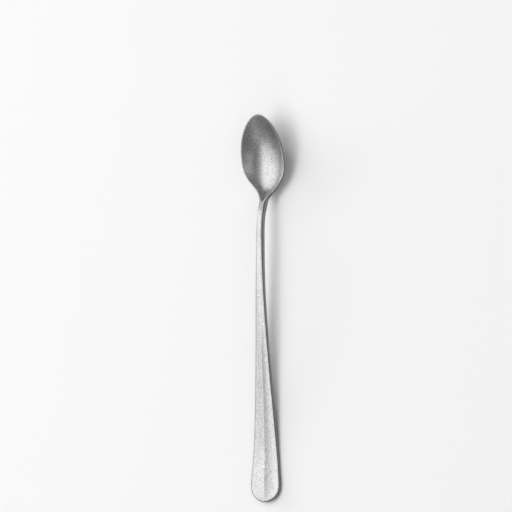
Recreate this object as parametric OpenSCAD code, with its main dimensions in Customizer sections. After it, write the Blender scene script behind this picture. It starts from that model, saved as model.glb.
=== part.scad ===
// Iced tea spoon of stone-washed stainless steel: one stamped length of steel, drawn as its
// four zones, which meet face to face. Y runs along the spoon with the bowl at +Y, and
// Z = 0 is the table that it lies on. Sizes are in millimetres.

/* [Bowl] */
// Width of the bowl at its widest place
bowl_width = 26.7; // [20:0.2:34]
// Length from the tip of the bowl back to its widest place
bowl_tip_length = 22.5; // [16:0.5:30]
// Length from the widest place of the bowl back to the neck
bowl_shoulder_length = 24; // [16:0.5:32]
// Length from the widest place of the bowl towards the tip, where the hollow is deepest
deepest_shift = 3; // [0:0.5:6]
// Depth of the hollow below its rim
bowl_depth = 6.3; // [4:0.1:9]
// Length from the neck to the throat, where the hollow closes
throat_length = 1.8; // [0.5:0.1:4]
// Thickness of the steel below the deepest place
bowl_wall = 1.6; // [0.8:0.1:2.4]
// Height of the outer edge of the rim
rim_height = 1.1; // [0.8:0.1:2]
// Width of the flat band on top of the rim
rim_width = 0.6; // [0.4:0.1:2]
// Rise of the rim from its widest place to the tip
tip_rise = 4.85; // [0:0.05:8]
// Share of that rise by which the rim curls up more towards the tip
tip_curl_share = 0.05; // [0:0.01:0.4]

/* [Neck] */
// Width of the neck at its narrowest place
neck_width = 3.6; // [2.4:0.1:5]
// Thickness of the neck where it meets the bowl
neck_thickness = 3.4; // [2.4:0.1:5]
// Length from the start of the neck to the top of the arch
neck_length = 17.5; // [12:0.5:26]
// Drop of the neck from the top of the arch to the bowl
neck_drop = 1.95; // [0.5:0.05:3]
// Size of the soft corner where the neck turns into the rim
neck_corner = 1.4; // [0.2:0.1:3]

/* [Stem] */
// Height of the stem's upper edges at the top of the arch
arch_height = 10.1; // [7:0.1:16]
// Thickness of the stem
stem_thickness = 2.65; // [1.8:0.05:4]
// Swell of the stem's upper face and of its back
stem_crown = 0.2; // [0:0.05:0.6]
// Length of the slender stem from the top of the arch to the crest
stem_length = 33; // [20:1:55]

/* [Handle] */
// Width of the handle where its round end begins
handle_width = 17.7; // [10:0.1:26]
// Thickness of the handle along its edges
handle_thickness = 2; // [1.4:0.05:3.5]
// Length from the start of the crest to the round end
handle_length = 92; // [60:1:125]
// Length of the round end
end_length = 11; // [7:0.5:18]
// Length from the place where the handle touches the table to the round end
rest_length = 9; // [4:0.5:20]
// Height by which the very end turns up
end_lift = 0.5; // [0:0.05:2]

/* [Crest] */
// Height of the middle crest above the edges at the start of the round end
crest_height = 1.3; // [0.3:0.05:2]
// Length over which the crest rises out of the stem
crest_fade = 27; // [8:1:40]

/* [Edges] */
// Radius of the rounded edges
edge_radius = 0.5; // [0.1:0.05:0.6]
// Depth of the worn flats that the spoon lies on
rest_flat = 0.1; // [0.05:0.01:0.2]

/* [Hidden] */

// Places along the spoon, from the tip to the end, with the middle of its length at Y = 0
taper_length = neck_length + stem_length + handle_length;
spoon_length = bowl_tip_length + bowl_shoulder_length + taper_length + end_length;
y_tip = spoon_length / 2;
y_widest = y_tip - bowl_tip_length;
y_deepest = y_widest + deepest_shift;
y_neck = y_widest - bowl_shoulder_length;
y_throat = y_neck + throat_length;
y_arch = y_neck - neck_length;
y_crest = y_arch - stem_length;
y_round = y_crest - handle_length;
y_end = y_round - end_length;
y_rest = y_round + rest_length;

// How full or slender each curve is
tip_power = 0.61;
shoulder_inner_power = 3;
shoulder_outer_power = 2.6;
taper_power = 1.85;
round_inner_power = 2.6;
round_outer_power = 0.6;
hollow_front_power = 1.05;
hollow_heel_power = 0.85;
back_front_power = 1.25;
back_heel_power = 1.35;
throat_inner_power = 5;
throat_outer_power = 0.25;
bowl_cross_power = 2.75;
neck_drop_power = 3.2;
arch_inner_power = 1.7;
arch_outer_power = 1.56;
end_lift_power = 1.8;
edge_swell_power = 2.4;
neck_swell_power = 3;
crest_power = 1.85;
crest_end_power = 2;

// Share of the half width inside which the hollow's points always lie
inner_share = 0.6;
// Share of the neck's length over which its faces swell
swell_share = 0.3;
// Share of its height that the crest loses along the round end, before the outline cuts it off
crest_end_share = 0.4;
// Largest shares of the thickness and of the half width that an edge's radius may take
radius_thickness_share = 0.2;
radius_width_share = 0.3;
// Last places, in degrees of a quarter turn, before the tip and the end close
tip_close = 88;
end_close = 87;

// Counts of facets
top_steps = 14;
back_steps = 10;
edge_steps = 2;
tip_rings = 16;
shoulder_rings = 20;
neck_rings = 8;
stem_rings = 9;
handle_rings = 26;
end_rings = 9;
level_steps = 200;

// Places from one to another in equal steps
function spaced(from, to, steps) = [for (i = [0:steps]) from + (to - from) * i / steps];

// An eased step from 0 to 1
function ease(u) = let (v = min(1, max(0, u))) v * v * (3 - 2 * v);

// The larger of two heights, with a soft corner where they cross
function soft_max(a, b, corner) = (a + b + sqrt((a - b) * (a - b) + corner * corner)) / 2;

// Share of the way down the bowl's shoulder, down the whole taper and into the round end
function shoulder_share(y) = min(1, max(0, (y_widest - y) / bowl_shoulder_length));
function taper_share(y) = max(0, (y_neck - y) / taper_length);
function round_share(y) = max(0, (y_round - y) / end_length);

// How far the bowl's outline has swollen from the neck's width, from 0 to 1
function bowl_swell(y) = y > y_widest
    ? pow(1 - pow((y - y_widest) / bowl_tip_length, 2), tip_power)
    : pow(1 - pow(shoulder_share(y), shoulder_inner_power), shoulder_outer_power);

// Half of the width that the handle would have with no round end, and half of the real width
function flare_half(y) = (neck_width + (handle_width - neck_width) * pow(taper_share(y), taper_power)) / 2;
function half_width(y) =
    y > y_widest ? bowl_width / 2 * bowl_swell(y)
    : y > y_neck ? (neck_width + (bowl_width - neck_width) * bowl_swell(y)) / 2
    : flare_half(y) * pow(1 - pow(round_share(y), round_inner_power), round_outer_power);

// Height of the outer edge's wall
function edge_thickness(y) = y > y_neck
    ? rim_height + (neck_thickness - rim_height) * pow(shoulder_share(y), edge_swell_power)
    : let (shank = handle_thickness + (stem_thickness - handle_thickness)
            * ease((y - y_crest) / stem_length),
           swell = pow(max(0, (y - y_arch) / neck_length), neck_swell_power))
        shank + (neck_thickness - stem_thickness) * swell;

// Share of the greatest depth at a place, between the front and the heel where the depth ends
function depth_share(y, front, heel, front_power, heel_power) = let (
        u = (y - y_deepest) / ((y > y_deepest ? front : heel) - y_deepest))
    pow(max(0, 1 - u * u), y > y_deepest ? front_power : heel_power);

// Depth of the bowl's back below the rim's outer edge, and of the hollow below the rim
back_depth = bowl_depth + bowl_wall - rim_height;
function back_drop(y) = y > y_neck
    ? back_depth * depth_share(y, y_tip, y_neck, back_front_power, back_heel_power) : 0;
function hollow_drop(y) = y > y_throat
    ? bowl_depth * depth_share(y, y_tip - rim_width, y_throat, hollow_front_power, hollow_heel_power) : 0;

// Half width of the hollow, which keeps inside the rim's flat band and closes in a point at the throat
function hollow_half(y) = y > y_widest
    ? (bowl_width / 2 - rim_width)
        * pow(max(0, 1 - pow((y - y_widest) / (bowl_tip_length - rim_width), 2)), tip_power)
    : let (u = (y_widest - y) / (y_widest - y_throat))
        (half_width(y) - rim_width) * pow(max(0, 1 - pow(u, throat_inner_power)), throat_outer_power);

// Rise of the rim's line from the widest place of the bowl
function rim_rise(y) = let (u = (y - y_widest) / bowl_tip_length)
    tip_rise * ((1 - tip_curl_share) * u + tip_curl_share * u * u);

// The rim is as high as leaves the back of the bowl on the table, less its worn flat
rim_level = -rest_flat - min([for (y = spaced(y_deepest, y_neck, level_steps))
    rim_rise(y) - edge_thickness(y) - back_drop(y)]);

// Height of the upper edges where the handle rests, and along the whole spoon
rest_level = handle_thickness - rest_flat;
function neck_line(y) = arch_height - neck_drop * pow((y - y_arch) / neck_length, neck_drop_power);
function arch_share(y) = (y_arch - y) / (y_arch - y_rest);
function edge_height(y) =
    y > y_arch ? soft_max(rim_level + rim_rise(y), neck_line(y), neck_corner)
    : y > y_rest ? rest_level + (arch_height - rest_level)
        * pow(1 - pow(arch_share(y), arch_inner_power), arch_outer_power)
    : rest_level + end_lift * pow((y_rest - y) / (y_rest - y_end), end_lift_power);

// Swell of the stem's faces, and height of the crest, which keeps its slope as the handle widens
function stem_swell(y) = stem_crown * ease((y_neck - y) / (swell_share * neck_length))
    * ease((y - y_crest + crest_fade) / crest_fade);
function crest_rise(y) = crest_height * flare_half(y) * 2 / handle_width * ease((y_crest - y) / crest_fade)
    * (1 - crest_end_share * pow(round_share(y), crest_end_power));

// Radius of the edges, which never takes more than its share of a thin or narrow place
function round_radius(y, half) = min(edge_radius, radius_thickness_share * edge_thickness(y),
    radius_width_share * half);
function outer_radius(y) = round_radius(y, half_width(y));
function flat_half(y) = half_width(y) - outer_radius(y);
function inner_half(y) = max(inner_share * half_width(y), hollow_half(y));

// Height of the crest's slope, whose foot is on the edges of the flare, also where the end is cut round
function crest(x, y) = let (half = flare_half(y), foot = half - round_radius(y, half))
    crest_rise(y) * pow(1 - min(1, abs(x) / foot), crest_power);

// Heights of the upper face and of the back at any place
function hollow_share(x, y) = abs(x) < hollow_half(y)
    ? 1 - pow(abs(x) / hollow_half(y), bowl_cross_power) : 0;
function top_height(x, y) = let (u = min(1, abs(x) / flat_half(y)))
    edge_height(y) + stem_swell(y) * (1 - u * u) + crest(x, y) - hollow_drop(y) * hollow_share(x, y);
function back_height(x, y) = let (u = min(1, abs(x) / flat_half(y)))
    edge_height(y) - edge_thickness(y) - stem_swell(y) * (1 - u * u)
        - back_drop(y) * (1 - pow(u, bowl_cross_power));

// One closed section across the spoon: upper face, right edge, back, left edge
function top_places(y) = concat([-flat_half(y)],
    [for (i = [0:top_steps]) inner_half(y) * (2 * i / top_steps - 1)], [flat_half(y)]);
function edge_points(y, side) = let (r = outer_radius(y),
        high = edge_height(y) + crest(flat_half(y), y) - r,
        low = edge_height(y) - edge_thickness(y) + r)
    concat([for (i = [1:edge_steps]) let (a = 90 * i / edge_steps)
            [side * (flat_half(y) + r * sin(a)), y, high + r * cos(a)]],
        [for (i = [0:edge_steps - 1]) let (a = 90 * i / edge_steps)
            [side * (flat_half(y) + r * cos(a)), y, low - r * sin(a)]]);
function reversed(list) = [for (i = [len(list) - 1:-1:0]) list[i]];
function section(y) = concat(
    [for (x = top_places(y)) [x, y, top_height(x, y)]],
    edge_points(y, 1),
    [for (i = [0:back_steps]) let (x = flat_half(y) * (1 - 2 * i / back_steps)) [x, y, back_height(x, y)]],
    reversed(edge_points(y, -1)));

// A solid through the sections at a list of places, which run from the tip towards the end
module loft(places) {
    sections = [for (y = places) section(y)];
    count = len(sections[0]);
    last = len(places) - 1;
    points = [for (s = sections) each s];
    sides = [for (i = [0:last - 1]) for (j = [0:count - 1])
        let (k = (j + 1) % count, a = i * count, b = a + count)
        each [[a + j, a + k, b + k], [a + j, b + k, b + j]]];
    // Each cap is listed from the middle of the left edge, which is in line with no flat face
    left = count - edge_steps;
    first_cap = [for (j = [count - 1:-1:0]) (left + j) % count];
    last_cap = [for (j = [0:count - 1]) last * count + (left + j) % count];
    polyhedron(points = points, faces = concat(sides, [first_cap, last_cap]));
}

// Everything below the table, which takes the worn flats off the spoon
module below_table() {
    translate([-bowl_width - handle_width, -spoon_length, -bowl_depth - bowl_width])
        cube([2 * (bowl_width + handle_width), 2 * spoon_length, bowl_depth + bowl_width]);
}

// Bowl with its rim, shoulders and throat
module bowl() {
    tip_places = [for (i = [0:tip_rings - 1])
        y_widest + bowl_tip_length * sin(tip_close * (1 - i / tip_rings))];
    color("#8f8f8f")
        difference() {
            loft(concat(tip_places, spaced(y_widest, y_neck, shoulder_rings)));
            below_table();
        }
}

// Neck, which climbs from the bowl to the top of the arch
module neck() {
    color("#a9a9a9")
        loft(spaced(y_neck, y_arch, neck_rings));
}

// Slender stem from the arch to the start of the crest
module stem() {
    color("#c4c4c4")
        loft(spaced(y_arch, y_crest, stem_rings));
}

// Flared handle with its crest and round end
module handle() {
    end_places = [for (i = [1:end_rings]) y_round - end_length * sin(end_close * i / end_rings)];
    color("#d9d9d9")
        difference() {
            loft(concat(spaced(y_crest, y_round, handle_rings), end_places));
            below_table();
        }
}

bowl();
neck();
stem();
handle();
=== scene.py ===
import math
from collections import namedtuple

import bpy
from bpy.props import FloatProperty, FloatVectorProperty, PointerProperty
from mathutils import Matrix, Vector


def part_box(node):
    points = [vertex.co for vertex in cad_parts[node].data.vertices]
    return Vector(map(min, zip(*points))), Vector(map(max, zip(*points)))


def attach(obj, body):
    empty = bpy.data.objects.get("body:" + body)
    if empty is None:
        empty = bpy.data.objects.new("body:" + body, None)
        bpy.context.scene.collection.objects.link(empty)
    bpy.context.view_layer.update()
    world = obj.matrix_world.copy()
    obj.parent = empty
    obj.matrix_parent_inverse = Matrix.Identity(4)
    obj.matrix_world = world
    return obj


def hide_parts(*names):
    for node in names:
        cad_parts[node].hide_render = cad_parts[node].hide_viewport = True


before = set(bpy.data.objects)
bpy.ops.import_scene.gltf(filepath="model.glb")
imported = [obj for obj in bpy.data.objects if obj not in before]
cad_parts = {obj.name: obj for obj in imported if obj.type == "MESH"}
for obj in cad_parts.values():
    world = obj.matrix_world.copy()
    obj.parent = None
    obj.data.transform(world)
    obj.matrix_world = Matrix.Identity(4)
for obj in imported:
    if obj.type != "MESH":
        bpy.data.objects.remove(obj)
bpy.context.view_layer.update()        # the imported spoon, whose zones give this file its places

bl_info = {
    "name": "Iced Tea Spoon",
    "version": (1, 0, 0),
    "blender": (4, 5, 0),
    "location": "3D View > Sidebar > Spoon",
    "description": "Builds a stone-washed steel iced tea spoon, zone by zone, with its studio",
    "category": "Add Mesh",
}

MM = 0.001
WHITE = (1, 1, 1, 1)

# How full or slender each curve of the spoon is
TIP_POWER = 0.61
SHOULDER_INNER_POWER = 3
SHOULDER_OUTER_POWER = 2.6
TAPER_POWER = 1.85
ROUND_INNER_POWER = 2.6
ROUND_OUTER_POWER = 0.6
HOLLOW_FRONT_POWER = 1.05
HOLLOW_HEEL_POWER = 0.85
BACK_FRONT_POWER = 1.25
BACK_HEEL_POWER = 1.35
THROAT_INNER_POWER = 5
THROAT_OUTER_POWER = 0.25
BOWL_CROSS_POWER = 2.75
NECK_DROP_POWER = 3.2
ARCH_INNER_POWER = 1.7
ARCH_OUTER_POWER = 1.56
END_LIFT_POWER = 1.8
EDGE_SWELL_POWER = 2.4
NECK_SWELL_POWER = 3
CREST_POWER = 1.85
CREST_END_POWER = 2

# Shares that bound or fade a shape or a tone
CREST_END_SHARE = 0.4
TIP_CURL_SHARE = 0.05
NECK_SWELL_SHARE = 0.3
RADIUS_THICKNESS_SHARE = 0.2
RADIUS_WIDTH_SHARE = 0.3
CORNER_DEPTH_SHARE = 0.5
# The next two shape the painted shade round the cut edge
EDGE_START_SHARE = 0.2
EDGE_WALL_SHARE = 0.4

# Name of the mesh value that holds the painted shade: darker along the cut edge, and below the bowl along
# the face's border
PAINTED_EDGE_SHADE = "cut_edge"

# The soft boxes that light the spoon. Height is the angle above the floor, and side the angle round
# the spoon, from the left towards the tip. Roll turns the box about its own middle. Width and tall
# are in metres, before the roll. Radiance is how bright its face looks, where 1 is plain white.
SoftBox = namedtuple("SoftBox", "name height side roll width tall radiance")
SOFT_BOXES = [
    SoftBox("left_softbox", height=35, side=10, roll=0, width=2, tall=4, radiance=2),
    SoftBox("low_strip", height=10, side=20, roll=-10, width=3, tall=0.5, radiance=8),
    SoftBox("top_strip", height=72, side=30, roll=8, width=6.5, tall=1.4, radiance=2.2),
    SoftBox("right_strip", height=30, side=170, roll=-40, width=4, tall=0.5, radiance=2.4),
    SoftBox("near_softbox", height=30, side=270, roll=-50, width=2, tall=2.5, radiance=0.5),
]

# Counts of rings along each stretch of the spoon, and of points across half a ring
TIP_RINGS = 64
SHOULDER_RINGS = 64
NECK_RINGS = 30
STEM_RINGS = 50
HANDLE_RINGS = 100
END_RINGS = 40
TOP_POINTS = 56
EDGE_POINTS = 5
BACK_POINTS = 28
LEVEL_STEPS = 200
FLOOR_CORNERS = 96

# Least lengths to divide by, and the decimals of a millimetre at which two points are one
LEAST_FLAT = MM
LEAST_FALL = MM / 1000
POINT_DECIMALS = 5

# The noise that draws the marks of the stones, and the band of its values that holds nearly all
NOISE_DETAIL = 2
SPECK_ROUGHNESS = 0.7
PATCH_ROUGHNESS = 0.5
NOISE_LOW = 0.3
NOISE_MIDDLE = 0.5
NOISE_HIGH = 0.7


def linear(hex_colour):
    """Turn an sRGB hex colour into Blender's linear red, green and blue."""
    shares = [int(hex_colour[i:i + 2], 16) / 255 for i in (1, 3, 5)]
    return [c / 12.92 if c <= 0.04045 else ((c + 0.055) / 1.055) ** 2.4 for c in shares]


def length(name, default, description):
    """A size in metres that the user can change."""
    return FloatProperty(
        name=name, description=description, default=default, min=0, unit="LENGTH", precision=5
    )


def colour(name, default, description):
    """A colour, given as an sRGB hex value, that the user can change."""
    return FloatVectorProperty(
        name=name, description=description, default=linear(default), min=0, max=1, subtype="COLOR"
    )


class SpoonSizes(bpy.types.PropertyGroup):
    """Sizes of the spoon; the places of its zones come from the frame"""

    bowl_width: length("Bowl width", 26.7 * MM, "Widest width of the bowl")
    tip_length: length("Tip length", 22.5 * MM, "From the tip of the bowl to its widest place")
    shoulder_length: length("Shoulder length", 24 * MM, "From the bowl's widest place to the neck")
    deepest_shift: length("Deepest shift", 3 * MM, "From the widest to the deepest place of the bowl")
    bowl_depth: length("Bowl depth", 6.3 * MM, "Depth of the hollow below its rim")
    throat_length: length("Throat length", 1.8 * MM, "From the neck to the place where the hollow closes")
    bowl_wall: length("Bowl wall", 1.6 * MM, "Steel below the deepest place of the hollow")
    rim_height: length("Rim height", 1.1 * MM, "Height of the rim's outer edge")
    rim_width: length("Rim width", 0.6 * MM, "Width of the flat band on top of the rim")
    rim_corner: length("Rim corner", 0.25 * MM, "Softness of the turn from the rim into the hollow")
    tip_rise: length("Tip rise", 4.85 * MM, "Rise of the rim from the widest place to the tip")
    neck_width: length("Neck width", 3.6 * MM, "Narrowest width of the neck")
    neck_thickness: length("Neck thickness", 3.4 * MM, "Thickness where the neck meets the bowl")
    neck_drop: length("Neck drop", 1.95 * MM, "Drop from the top of the arch to the bowl")
    neck_corner: length("Neck corner", 1.4 * MM, "Softness of the turn from the neck into the rim")
    arch_height: length("Arch height", 10.1 * MM, "Height of the upper edges on top of the arch")
    stem_thickness: length("Stem thickness", 2.65 * MM, "Thickness of the stem")
    stem_crown: length("Stem crown", 0.2 * MM, "Swell of the stem's upper face and of its back")
    handle_width: length("Handle width", 17.7 * MM, "Width where the round end begins")
    handle_thickness: length("Handle thickness", 2 * MM, "Thickness along the handle's edges")
    handle_length: length("Handle length", 92 * MM, "From the start of the crest to the round end")
    end_length: length("End length", 11 * MM, "Length of the round end")
    rest_length: length("Rest length", 9 * MM, "From the handle's resting place to the round end")
    end_lift: length("End lift", 0.5 * MM, "Height by which the very end turns up")
    crest_height: length("Crest height", 1.3 * MM, "Middle crest above the edges")
    crest_fade: length("Crest fade", 27 * MM, "Length over which the crest rises out of the stem")
    crest_corner: length("Crest corner", 0.35 * MM, "Softness of the crest's top")
    edge_radius: length("Edge radius", 0.5 * MM, "Radius of the rounded edges")
    rest_flat: length("Worn flat", 0.1 * MM, "Depth of the worn flats that the spoon lies on")


class SteelFinish(bpy.types.PropertyGroup):
    """Finish of the stone-washed steel, and the painted shade along its edges"""

    washed: colour("Washed steel", "#8F8F8F", "Colour of the washed steel")
    rubbed: colour("Rubbed steel", "#BBBBBB", "Colour of the paler, more rubbed specks")
    # The cut edge's darker colour is painted shade: it stands in for the dim reflections that the edges
    # show.
    edge: colour("Cut edge", "#505050", "Colour of the cut edge, which the stones rub less")
    # The border settings give painted shade: below the bowl the face darkens towards its edge.
    border_width: length("Border width", 1.2 * MM, "Width over which the face darkens to its edge")
    shade_border_start: length("Border start", 5 * MM, "Stretch of the throat over which the border comes in")
    shade_border_strength: FloatProperty(
        name="Border strength", description="How dark the face gets along its edge, below the bowl",
        default=0.65, min=0, max=1,
    )
    roughness: FloatProperty(
        name="Roughness", description="Mean roughness", default=0.42, min=0, max=1, subtype="FACTOR"
    )
    roughness_swing: FloatProperty(
        name="Roughness swing", description="How far the specks change the roughness",
        default=0.04, min=0, max=1,
    )
    # Real marks are finer. They are drawn as coarse as they need to be to show in the render.
    speck_size: length("Speck size", 0.55 * MM, "Spacing of the marks that the stones leave")
    speck_depth: length("Speck depth", 0.008 * MM, "Depth of the marks that the stones leave")
    speck_spread: FloatProperty(
        name="Speck spread", description="How gently the specks' tones change; less is starker",
        default=0.11, min=0.01, max=1,
    )
    patch_size: length("Patch size", 7 * MM, "Spacing of the faint, cloudy patches")
    patch_strength: FloatProperty(
        name="Patch strength", description="Strength of the cloudy patches beside the specks",
        default=0.1, min=0, max=1,
    )


class StudioSetting(bpy.types.PropertyGroup):
    """Floor, lights and camera"""

    floor: colour("Floor", "#F2F2F2", "Colour of the pale floor")
    floor_radius: length("Floor radius", 3, "Radius of the round floor")
    floor_roughness: FloatProperty(
        name="Floor roughness", description="Roughness of the matt paint", default=0.9, min=0, max=1
    )
    floor_sheen: FloatProperty(
        name="Floor sheen", description="Strength of the paint's faint reflections",
        default=0.1, min=0, max=1,
    )
    view_roll: FloatProperty(
        name="View roll", description="How far round the spoon's length the camera stands",
        default=math.radians(35), subtype="ANGLE",
    )
    picture_turn: FloatProperty(
        name="Picture turn", description="Turn of the camera about its line of sight",
        default=math.radians(0.7), subtype="ANGLE",
    )
    air: FloatProperty(
        name="Air", description="Strength of the even light from all around", default=0.23, min=0
    )
    light_distance: length("Light distance", 3, "Distance of the soft lights from the spoon")
    camera_distance: length("Camera distance", 5, "Distance of the camera from what it looks at")
    view_width: length("View width", 264.2 * MM, "Width of the picture at the spoon")
    aim_right: FloatProperty(
        name="Aim right", description="How far right of the spoon's middle the camera looks",
        default=-6.9 * MM, unit="LENGTH", precision=5,
    )
    aim_up: FloatProperty(
        name="Aim up", description="How far up the spoon from its middle the camera looks",
        default=27 * MM, unit="LENGTH", precision=5,
    )


def ease(u):
    """An eased step from 0 to 1."""
    v = min(1, max(0, u))
    return v * v * (3 - 2 * v)


def soft_max(a, b, corner):
    """The larger of two heights, with a soft corner where they cross."""
    return (a + b + math.sqrt((a - b) ** 2 + corner ** 2)) / 2


class SpoonForm:
    """The curves that the spoon follows along its length, in metres."""

    def __init__(self, sizes):
        s = self.sizes = sizes
        self.y_neck, self.y_arch, self.y_crest = [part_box(z)[1].y for z in ("neck", "stem", "handle")]
        self.y_widest = self.y_neck + s.shoulder_length
        self.y_deepest = self.y_widest + s.deepest_shift
        self.y_throat = self.y_neck + s.throat_length
        self.y_tip = self.y_widest + s.tip_length
        self.y_round = self.y_crest - s.handle_length
        self.y_end = self.y_round - s.end_length
        self.y_rest = self.y_round + s.rest_length
        self.taper_length = self.y_neck - self.y_round
        self.back_depth = s.bowl_depth + s.bowl_wall - s.rim_height
        lowest = min(
            self.rim_rise(y) - self.edge_thickness(y) - self.back_drop(y)
            for y in spaced(self.y_deepest, self.y_neck, LEVEL_STEPS)
        )
        self.rim_level = -s.rest_flat - lowest

    def shoulder_share(self, y):
        """Share of the way from the bowl's widest place to the neck."""
        return min(1, max(0, (self.y_widest - y) / self.sizes.shoulder_length))

    def bowl_swell(self, y):
        """How far the bowl's outline has swollen from the neck's width, from 0 to 1."""
        if y > self.y_widest:
            u = (y - self.y_widest) / self.sizes.tip_length
            return max(0, 1 - u * u) ** TIP_POWER
        return (1 - self.shoulder_share(y) ** SHOULDER_INNER_POWER) ** SHOULDER_OUTER_POWER

    def round_share(self, y):
        """Share of the way along the round end."""
        return min(1, max(0, (self.y_round - y) / self.sizes.end_length))

    def flare_half(self, y):
        """Half of the handle's width, as if it had no round end."""
        s = self.sizes
        flare = (max(0, self.y_neck - y) / self.taper_length) ** TAPER_POWER
        return (s.neck_width + (s.handle_width - s.neck_width) * flare) / 2

    def half_width(self, y):
        """Half of the spoon's width."""
        s = self.sizes
        if y > self.y_widest:
            return s.bowl_width / 2 * self.bowl_swell(y)
        if y > self.y_neck:
            return (s.neck_width + (s.bowl_width - s.neck_width) * self.bowl_swell(y)) / 2
        rounding = (1 - self.round_share(y) ** ROUND_INNER_POWER) ** ROUND_OUTER_POWER
        return self.flare_half(y) * rounding

    def edge_thickness(self, y):
        """Height of the outer edge's wall."""
        s = self.sizes
        if y > self.y_neck:
            swell = self.shoulder_share(y) ** EDGE_SWELL_POWER
            return s.rim_height + (s.neck_thickness - s.rim_height) * swell
        shank = ease((y - self.y_crest) / (self.y_arch - self.y_crest))
        swell = max(0, (y - self.y_arch) / (self.y_neck - self.y_arch)) ** NECK_SWELL_POWER
        return (
            s.handle_thickness + (s.stem_thickness - s.handle_thickness) * shank
            + (s.neck_thickness - s.stem_thickness) * swell
        )

    def depth_share(self, y, front, heel, front_power, heel_power):
        """Share of the greatest depth at a place, between where the depth ends at front and heel."""
        end, power = (front, front_power) if y > self.y_deepest else (heel, heel_power)
        u = (y - self.y_deepest) / (end - self.y_deepest)
        return max(0, 1 - u * u) ** power

    def back_drop(self, y):
        """Depth of the bowl's back below the rim's outer edge."""
        if y <= self.y_neck:
            return 0
        share = self.depth_share(y, self.y_tip, self.y_neck, BACK_FRONT_POWER, BACK_HEEL_POWER)
        return self.back_depth * share

    def hollow_drop(self, y):
        """Depth of the hollow below the rim, along its middle."""
        if y <= self.y_throat:
            return 0
        front = self.y_tip - self.sizes.rim_width
        share = self.depth_share(y, front, self.y_throat, HOLLOW_FRONT_POWER, HOLLOW_HEEL_POWER)
        return self.sizes.bowl_depth * share

    def hollow_half(self, y):
        """Half width of the hollow, inside the rim's flat band and closed in a point at the throat."""
        s = self.sizes
        if y > self.y_widest:
            u = (y - self.y_widest) / (s.tip_length - s.rim_width)
            return (s.bowl_width / 2 - s.rim_width) * max(0, 1 - u * u) ** TIP_POWER
        u = (self.y_widest - y) / (self.y_widest - self.y_throat)
        closing = max(0, 1 - u ** THROAT_INNER_POWER) ** THROAT_OUTER_POWER
        return (self.half_width(y) - s.rim_width) * closing

    def rim_rise(self, y):
        """Rise of the rim's line from the widest place of the bowl."""
        u = (y - self.y_widest) / self.sizes.tip_length
        return self.sizes.tip_rise * ((1 - TIP_CURL_SHARE) * u + TIP_CURL_SHARE * u * u)

    def edge_height(self, y):
        """Height of the upper edges."""
        s = self.sizes
        if y > self.y_arch:
            down = ((y - self.y_arch) / (self.y_neck - self.y_arch)) ** NECK_DROP_POWER
            rim = self.rim_level + self.rim_rise(y)
            return soft_max(rim, s.arch_height - s.neck_drop * down, s.neck_corner)
        rest_level = s.handle_thickness - s.rest_flat
        if y > self.y_rest:
            share = (self.y_arch - y) / (self.y_arch - self.y_rest)
            arch = (1 - share ** ARCH_INNER_POWER) ** ARCH_OUTER_POWER
            return rest_level + (s.arch_height - rest_level) * arch
        share = (self.y_rest - y) / (self.y_rest - self.y_end)
        return rest_level + s.end_lift * share ** END_LIFT_POWER

    def stem_swell(self, y):
        """Swell of the stem's upper face and of its back."""
        s = self.sizes
        rising = ease((self.y_neck - y) / (NECK_SWELL_SHARE * (self.y_neck - self.y_arch)))
        return s.stem_crown * rising * ease((y - self.y_crest + s.crest_fade) / s.crest_fade)

    def crest_rise(self, y):
        """Height of the middle crest, which keeps its slope as the handle widens and runs off the end."""
        s = self.sizes
        widening = self.flare_half(y) * 2 / s.handle_width
        ending = 1 - CREST_END_SHARE * self.round_share(y) ** CREST_END_POWER
        return s.crest_height * widening * ending * ease((self.y_crest - y) / s.crest_fade)

    def crest(self, x, y):
        """Height of the crest's slope, which ends along the edges of the plain flare."""
        soft, half = self.sizes.crest_corner, self.flare_half(y)
        foot = half - self.edge_radius(y, half)
        away = (math.hypot(x, soft) - soft) / (math.hypot(foot, soft) - soft)
        return self.crest_rise(y) * max(0, 1 - away) ** CREST_POWER

    def edge_radius(self, y, half):
        """Radius of the edges, at most a share of a thin or narrow place."""
        thin = RADIUS_THICKNESS_SHARE * self.edge_thickness(y)
        return min(self.sizes.edge_radius, thin, RADIUS_WIDTH_SHARE * half)

    def hollow(self, x, y):
        """Depth of the hollow, whose edge turns softly into the rim's flat band."""
        deepest, half = self.hollow_drop(y), self.hollow_half(y)
        if deepest <= 0 or half <= 0:
            return 0
        corner = min(self.sizes.rim_corner, CORNER_DEPTH_SHARE * deepest)
        return soft_max(deepest * (1 - (x / half) ** BOWL_CROSS_POWER), 0, corner)

    def top_height(self, x, y, flat):
        """Height of the upper face, where flat is half the width inside the rounded edges."""
        u = min(1, x / flat) if flat > 0 else 1
        swell = self.stem_swell(y) * (1 - u * u)
        return self.edge_height(y) + swell + self.crest(x, y) - self.hollow(x, y)

    def face_points(self, y, flat):
        """Points of a half ring across the upper face, closer together at the middle and the edge."""
        points = []
        for i in range(TOP_POINTS):
            x = flat * (1 - math.cos(math.pi * i / TOP_POINTS)) / 2
            points.append((x, y, self.top_height(x, y, flat)))
        return points

    def upper_edge_points(self, y, flat, radius, out_x, out_y):
        """Points of a half ring round the upper edge, from the slope of the face to upright."""
        cut = self.crest(flat, y)
        slope = math.atan2(2 * self.stem_swell(y), max(flat, LEAST_FLAT))
        points = []
        for i in range(EDGE_POINTS + 1):
            a = slope + (math.pi / 2 - slope) * i / EDGE_POINTS
            step = radius * math.sin(a)
            at = y + step * out_y
            z = self.edge_height(at) + cut - radius * (1 - math.cos(a))
            points.append((flat + step * out_x, at, z))
        return points

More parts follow.
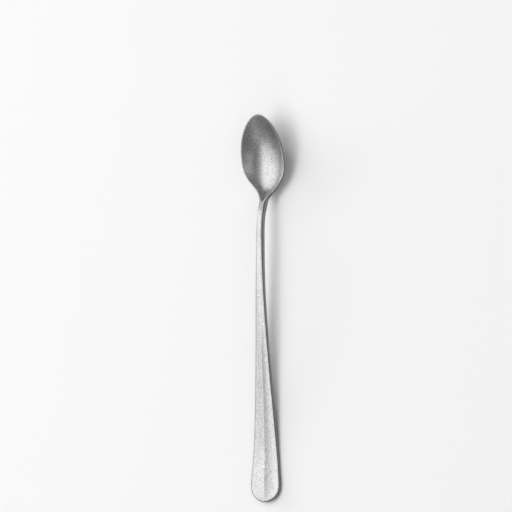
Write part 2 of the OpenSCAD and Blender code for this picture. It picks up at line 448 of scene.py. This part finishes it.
    def lower_edge_points(self, y, flat, radius, out_x, out_y):
        """Points of a half ring round the lower edge, from upright to the slope of the back."""
        fall = BOWL_CROSS_POWER * self.back_drop(y) + 2 * self.stem_swell(y)
        slope = math.atan2(fall, max(flat, LEAST_FLAT))
        points = []
        for i in range(EDGE_POINTS + 1):
            a = math.pi / 2 - (math.pi / 2 - slope) * i / EDGE_POINTS
            step = radius * math.sin(a)
            at = y + step * out_y
            z = self.edge_height(at) - self.edge_thickness(at) + radius * (1 - math.cos(a))
            points.append((flat + step * out_x, at, z))
        return points

    def back_points(self, y, edge):
        """Points of a half ring across the back, from the end of its edge to the middle."""
        swell, drop = self.stem_swell(y), self.back_drop(y)
        middle = self.edge_height(y) - self.edge_thickness(y) - swell - drop
        whole = max(drop + swell, LEAST_FALL)
        edge_x, edge_y, edge_z = edge
        points = []
        for i in range(1, BACK_POINTS + 1):
            u = math.cos(math.pi / 2 * i / BACK_POINTS)
            fall = (drop * (1 - u ** BOWL_CROSS_POWER) + swell * (1 - u * u)) / whole
            z = edge_z + (middle - edge_z) * fall
            points.append((edge_x * u, y + (edge_y - y) * u * u, z))
        return points

    def half_ring(self, x_out, y_out, turn):
        """Points of the right half of a ring, from the middle of the upper face to that of the back.

        The ring starts from a point of the outline, and turn is how far the outline faces the tip
        (a quarter turn) or the end (minus a quarter turn) there.
        """
        radius = self.edge_radius(y_out, max(x_out, self.sizes.edge_radius / RADIUS_WIDTH_SHARE))
        out_x, out_y = math.cos(turn), math.sin(turn)
        flat = max(0, x_out - radius * out_x)
        y = y_out - radius * out_y
        points = self.face_points(y, flat)
        points += self.upper_edge_points(y, flat, radius, out_x, out_y)
        points += self.lower_edge_points(y, flat, radius, out_x, out_y)
        points += self.back_points(y, points[-1])
        return [Vector((px, py, max(0, pz))) for px, py, pz in points]

    def ring(self, places, i):
        """A whole ring at the outline's place i, and mirrored on the left."""
        if places[i] >= self.y_tip:
            turn = math.pi / 2
        elif places[i] <= self.y_end:
            turn = -math.pi / 2
        else:
            before, after = places[i - 1], places[i + 1]
            turn = math.atan2(self.half_width(after) - self.half_width(before), before - after)
        right = self.half_ring(self.half_width(places[i]), places[i], turn)
        left = [Vector((-p.x, p.y, p.z)) for p in reversed(right[1:-1])]
        return right + left


def spaced(start, end, steps):
    """Places from start to end, in equal steps."""
    return [start + (end - start) * i / steps for i in range(steps + 1)]


def outline_places(form):
    """Places of all rings from the tip to the end, and where each zone starts among them."""
    quarter = math.pi / 2
    tip = [
        form.y_widest + form.sizes.tip_length * math.cos(quarter * i / TIP_RINGS)
        for i in range(TIP_RINGS)
    ]
    end = [
        form.y_round - form.sizes.end_length * math.sin(quarter * i / END_RINGS)
        for i in range(1, END_RINGS + 1)
    ]
    shoulder = spaced(form.y_widest, form.y_neck, SHOULDER_RINGS)[:-1]
    neck = spaced(form.y_neck, form.y_arch, NECK_RINGS)[:-1]
    stem = spaced(form.y_arch, form.y_crest, STEM_RINGS)[:-1]
    handle = spaced(form.y_crest, form.y_round, HANDLE_RINGS)
    places = tip + shoulder + neck + stem + handle + end
    starts = [0, len(tip + shoulder)]
    starts.append(starts[-1] + len(neck))
    starts.append(starts[-1] + len(stem))
    starts.append(len(places) - 1)
    return places, dict(zip(("bowl", "neck", "stem", "handle"), zip(starts, starts[1:])))


def edge_shade_shares():
    """Painted shade at each point of a ring, from 0 on the faces to 1 along the turn of the cut edge."""
    turn = []
    for i in range(EDGE_POINTS + 1):
        along = i / EDGE_POINTS
        turn.append(ease(along / EDGE_START_SHARE) - (1 - EDGE_WALL_SHARE) * ease(2 * along - 1))
    right = [0] * TOP_POINTS + turn + turn[::-1] + [0] * BACK_POINTS
    return right + right[1:-1][::-1]


def skin(rings):
    """Points and outward faces of the surface through a list of rings, with no point twice."""
    points, numbers, faces = [], {}, []
    rows = []
    for ring in rings:
        row = []
        for p in ring:
            key = tuple(round(c / MM, POINT_DECIMALS) for c in p)
            if key not in numbers:
                numbers[key] = len(points)
                points.append(p)
            row.append(numbers[key])
        rows.append(row)
    for upper, lower in zip(rows, rows[1:]):
        for j in range(len(upper)):
            k = (j + 1) % len(upper)
            face = list(dict.fromkeys((upper[j], lower[j], lower[k], upper[k])))
            if len(face) > 2:
                faces.append(face)
    return points, faces, rows


def paint_edge_shade(mesh, form, finish, places, rows):
    """Mark the painted shade at each point: along its cut edge, and below the bowl along the face's
    border beside it.
    """
    cut_edge = mesh.attributes.new(PAINTED_EDGE_SHADE, "FLOAT", "POINT")
    shares = edge_shade_shares()
    for place, row in zip(places, rows):
        # Painted shade: the cut edge takes its share, and below the bowl the face darkens towards its
        # edge.
        strength = finish.shade_border_strength * ease(1 - (place - form.y_neck) / finish.shade_border_start)
        for v, share in zip(row, shares):
            inside = form.half_width(place) - abs(mesh.vertices[v].co.x)
            border = strength * ease(1 - inside / finish.border_width)
            darkness = share if share > 0 else border
            cut_edge.data[v].value = max(cut_edge.data[v].value, darkness)


def add_zone(context, zone):
    """Add one zone as a closed mesh, whose smooth shading runs on into its neighbours."""
    form = SpoonForm(context.scene.spoon_sizes)
    finish = context.scene.spoon_finish
    places, zones = outline_places(form)
    first, last = zones[zone]
    before, after = max(0, first - 1), min(len(places) - 1, last + 1)
    wide = [form.ring(places, i) for i in range(before, after + 1)]
    points, faces, rows = skin(wide)
    whole = bpy.data.meshes.new(zone + "_with_neighbours")
    whole.from_pydata(points, [], faces)
    shading = {tuple(v.co): v.normal.copy() for v in whole.vertices}
    bpy.data.meshes.remove(whole)

    points, faces, rows = skin(wide[first - before:last - before + 1])
    caps = []
    if first > 0:
        caps.append(rows[0])
    if last < len(places) - 1:
        caps.append(rows[-1][::-1])
    mesh = bpy.data.meshes.new(zone + "_steel")
    mesh.from_pydata(points, [], faces + caps)
    for face in mesh.polygons:
        face.use_smooth = face.index < len(faces)
    normals = []
    for face in mesh.polygons:
        for v in face.vertices:
            normals.append(shading[tuple(mesh.vertices[v].co)] if face.use_smooth else face.normal)
    mesh.normals_split_custom_set(normals)
    paint_edge_shade(mesh, form, finish, places[first:], rows)
    mesh.materials.append(stone_washed_steel(finish))
    piece = bpy.data.objects.new(zone + "_steel", mesh)
    context.scene.collection.objects.link(piece)
    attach(piece, "root")
    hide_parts(zone)
    return piece


def add_node(tree, kind, inputs, **settings):
    """Add a node with its settings, and fill or link its inputs by name or number."""
    made = tree.nodes.new(kind)
    for key, value in settings.items():
        setattr(made, key, value)
    for key, value in inputs.items():
        if isinstance(value, bpy.types.NodeSocket):
            tree.links.new(value, made.inputs[key])
        else:
            made.inputs[key].default_value = value
    return made


def new_material(name):
    """An empty node material and its output node."""
    material = bpy.data.materials.new(name)
    material.use_nodes = True
    tree = material.node_tree
    tree.nodes.clear()
    return material, tree, tree.nodes.new("ShaderNodeOutputMaterial")


def stone_washed_steel(finish):
    """Stainless steel, tumbled with stones.

    It looks like soft grey metal with blurred reflections, finely specked all over in no direction.
    Its cut edge and the border beside it are darker: painted shade that stands in for the dim reflections
    they show.
    """
    name = "Stone-washed stainless steel"
    if name in bpy.data.materials:
        return bpy.data.materials[name]
    material, tree, output = new_material(name)
    place = add_node(tree, "ShaderNodeTexCoord", {}).outputs["Object"]
    specks = add_node(tree, "ShaderNodeTexNoise", {
        "Vector": place, "Scale": 1 / finish.speck_size,
        "Detail": NOISE_DETAIL, "Roughness": SPECK_ROUGHNESS,
    })
    patches = add_node(tree, "ShaderNodeTexNoise", {
        "Vector": place, "Scale": 1 / finish.patch_size,
        "Detail": NOISE_DETAIL, "Roughness": PATCH_ROUGHNESS,
    })
    cloud = add_node(tree, "ShaderNodeMath", {
        0: patches.outputs["Fac"], 1: finish.patch_strength, 2: specks.outputs["Fac"],
    }, operation="MULTIPLY_ADD")
    middle = NOISE_MIDDLE * (1 + finish.patch_strength)
    share = add_node(tree, "ShaderNodeMapRange", {
        "Value": cloud.outputs[0], "From Min": middle - finish.speck_spread,
        "From Max": middle + finish.speck_spread,
    })
    tone = add_node(tree, "ShaderNodeMix", {
        "Factor": share.outputs[0], 6: (*finish.washed, 1), 7: (*finish.rubbed, 1),
    }, data_type="RGBA")
    # Painted shade: the steel is mixed towards a darker colour along the cut edge and the border beside
    # it.
    cut_edge = add_node(tree, "ShaderNodeAttribute", {}, attribute_name=PAINTED_EDGE_SHADE)
    steel = add_node(tree, "ShaderNodeMix", {
        "Factor": cut_edge.outputs["Fac"], 6: tone.outputs[2], 7: (*finish.edge, 1),
    }, data_type="RGBA")
    rough = add_node(tree, "ShaderNodeMapRange", {
        "Value": specks.outputs["Fac"], "From Min": NOISE_LOW, "From Max": NOISE_HIGH,
        "To Min": finish.roughness - finish.roughness_swing,
        "To Max": finish.roughness + finish.roughness_swing,
    })
    bump = add_node(tree, "ShaderNodeBump", {
        "Height": specks.outputs["Fac"], "Distance": finish.speck_depth,
    })
    shader = add_node(tree, "ShaderNodeBsdfPrincipled", {
        "Base Color": steel.outputs[2], "Metallic": 1.0, "Roughness": rough.outputs[0],
        "Normal": bump.outputs[0],
    })
    tree.links.new(shader.outputs[0], output.inputs["Surface"])
    return material


def painted_floor(setting):
    """Matt white-painted board, rolled on, which gives a pale, even ground with no gloss."""
    material, tree, output = new_material("Matt painted board")
    shader = add_node(tree, "ShaderNodeBsdfPrincipled", {
        "Base Color": (*setting.floor, 1), "Roughness": setting.floor_roughness,
        "Specular IOR Level": setting.floor_sheen,
    })
    tree.links.new(shader.outputs[0], output.inputs["Surface"])
    return material


def add_floor(context, setting):
    """A round floor at the height of the table."""
    rim = [
        Vector((math.cos(a), math.sin(a), 0)) * setting.floor_radius
        for a in (2 * math.pi * i / FLOOR_CORNERS for i in range(FLOOR_CORNERS))
    ]
    mesh = bpy.data.meshes.new("studio_floor")
    mesh.from_pydata(rim, [], [list(range(len(rim)))])
    mesh.materials.append(painted_floor(setting))
    floor = bpy.data.objects.new("studio_floor", mesh)
    context.scene.collection.objects.link(floor)


def add_soft_box(context, box):
    """A flat soft light from the table of soft boxes, which faces the spoon."""
    data = bpy.data.lights.new(box.name, "AREA")
    data.shape = "RECTANGLE"
    data.size = box.width
    data.size_y = box.tall
    data.energy = box.radiance * math.pi * box.width * box.tall
    height, side, roll = [math.radians(angle) for angle in (box.height, box.side, box.roll)]
    out = math.cos(height)
    away = Vector((-out * math.cos(side), out * math.sin(side), math.sin(height)))
    level = Vector((math.sin(side), math.cos(side), 0))
    across = Matrix.Rotation(roll, 3, away) @ level
    axes = Matrix((across, away.cross(across), away)).transposed().to_4x4()
    lamp = bpy.data.objects.new(box.name, data)
    lamp.matrix_world = Matrix.Translation(away * context.scene.spoon_studio.light_distance) @ axes
    context.scene.collection.objects.link(lamp)
    return lamp


def add_world(context, brightness):
    """Dim, even light from all around."""
    world = bpy.data.worlds.new("studio_air")
    world.use_nodes = True
    tree = world.node_tree
    tree.nodes.clear()
    output = tree.nodes.new("ShaderNodeOutputWorld")
    air = add_node(tree, "ShaderNodeBackground", {"Color": WHITE, "Strength": brightness})
    tree.links.new(air.outputs[0], output.inputs["Surface"])
    context.scene.world = world


def add_camera(context, setting):
    """The camera, at the photograph's viewing angle."""
    data = bpy.data.cameras.new("photo_camera")
    data.lens = data.sensor_width * setting.camera_distance / setting.view_width
    camera = bpy.data.objects.new("photo_camera", data)
    back = Vector((math.sin(setting.view_roll), 0, math.cos(setting.view_roll)))
    up = Vector((0, 1, 0))
    turn = Matrix.Rotation(setting.picture_turn, 3, back)
    up = turn @ up
    right = up.cross(back)
    aim = right * setting.aim_right + up * setting.aim_up
    axes = Matrix((right, up, back)).transposed().to_4x4()
    camera.matrix_world = Matrix.Translation(aim + back * setting.camera_distance) @ axes
    context.scene.collection.objects.link(camera)
    context.scene.camera = camera


class SPOON_OT_bowl(bpy.types.Operator):
    """Add the bowl with its rim, shoulders and throat"""

    bl_idname = "spoon.add_bowl"
    bl_label = "Add Bowl"

    def execute(self, context):
        add_zone(context, "bowl")
        return {"FINISHED"}


class SPOON_OT_neck(bpy.types.Operator):
    """Add the neck, which climbs from the bowl to the top of the arch"""

    bl_idname = "spoon.add_neck"
    bl_label = "Add Neck"

    def execute(self, context):
        add_zone(context, "neck")
        return {"FINISHED"}


class SPOON_OT_stem(bpy.types.Operator):
    """Add the slender stem from the arch to the start of the crest"""

    bl_idname = "spoon.add_stem"
    bl_label = "Add Stem"

    def execute(self, context):
        add_zone(context, "stem")
        return {"FINISHED"}


class SPOON_OT_handle(bpy.types.Operator):
    """Add the flared handle with its crest and round end"""

    bl_idname = "spoon.add_handle"
    bl_label = "Add Handle"

    def execute(self, context):
        add_zone(context, "handle")
        return {"FINISHED"}


class SPOON_OT_studio(bpy.types.Operator):
    """Add the floor, the soft lights and the camera"""

    bl_idname = "spoon.add_studio"
    bl_label = "Add Studio"

    def execute(self, context):
        setting = context.scene.spoon_studio
        context.scene.view_settings.view_transform = "Standard"
        add_floor(context, setting)
        add_world(context, setting.air)
        for box in SOFT_BOXES:
            add_soft_box(context, box)
        add_camera(context, setting)
        return {"FINISHED"}


class SPOON_PT_sidebar(bpy.types.Panel):
    """The spoon's sizes, finish and steps"""

    bl_idname = "SPOON_PT_sidebar"
    bl_label = "Iced Tea Spoon"
    bl_space_type = "VIEW_3D"
    bl_region_type = "UI"
    bl_category = "Spoon"

    def draw(self, context):
        scene = context.scene
        for group in (scene.spoon_sizes, scene.spoon_finish, scene.spoon_studio):
            box = self.layout.box()
            for name in group.__annotations__:
                box.prop(group, name)
        for step in STEPS:
            self.layout.operator(step.bl_idname)


STEPS = [SPOON_OT_studio, SPOON_OT_bowl, SPOON_OT_neck, SPOON_OT_stem, SPOON_OT_handle]
GROUPS = {"spoon_sizes": SpoonSizes, "spoon_finish": SteelFinish, "spoon_studio": StudioSetting}


def register():
    """Add the groups of settings, the operators and the panel."""
    for group in GROUPS.values():
        bpy.utils.register_class(group)
    for name, group in GROUPS.items():
        setattr(bpy.types.Scene, name, PointerProperty(type=group))
    for step in STEPS:
        bpy.utils.register_class(step)
    bpy.utils.register_class(SPOON_PT_sidebar)


def unregister():
    """Take away what register added."""
    bpy.utils.unregister_class(SPOON_PT_sidebar)
    for step in reversed(STEPS):
        bpy.utils.unregister_class(step)
    for name, group in GROUPS.items():
        delattr(bpy.types.Scene, name)
        bpy.utils.unregister_class(group)


def main():
    """Build the studio and the spoon."""
    register()
    bpy.ops.spoon.add_studio()
    bpy.ops.spoon.add_bowl()
    bpy.ops.spoon.add_neck()
    bpy.ops.spoon.add_stem()
    bpy.ops.spoon.add_handle()


if __name__ == "__main__":
    main()
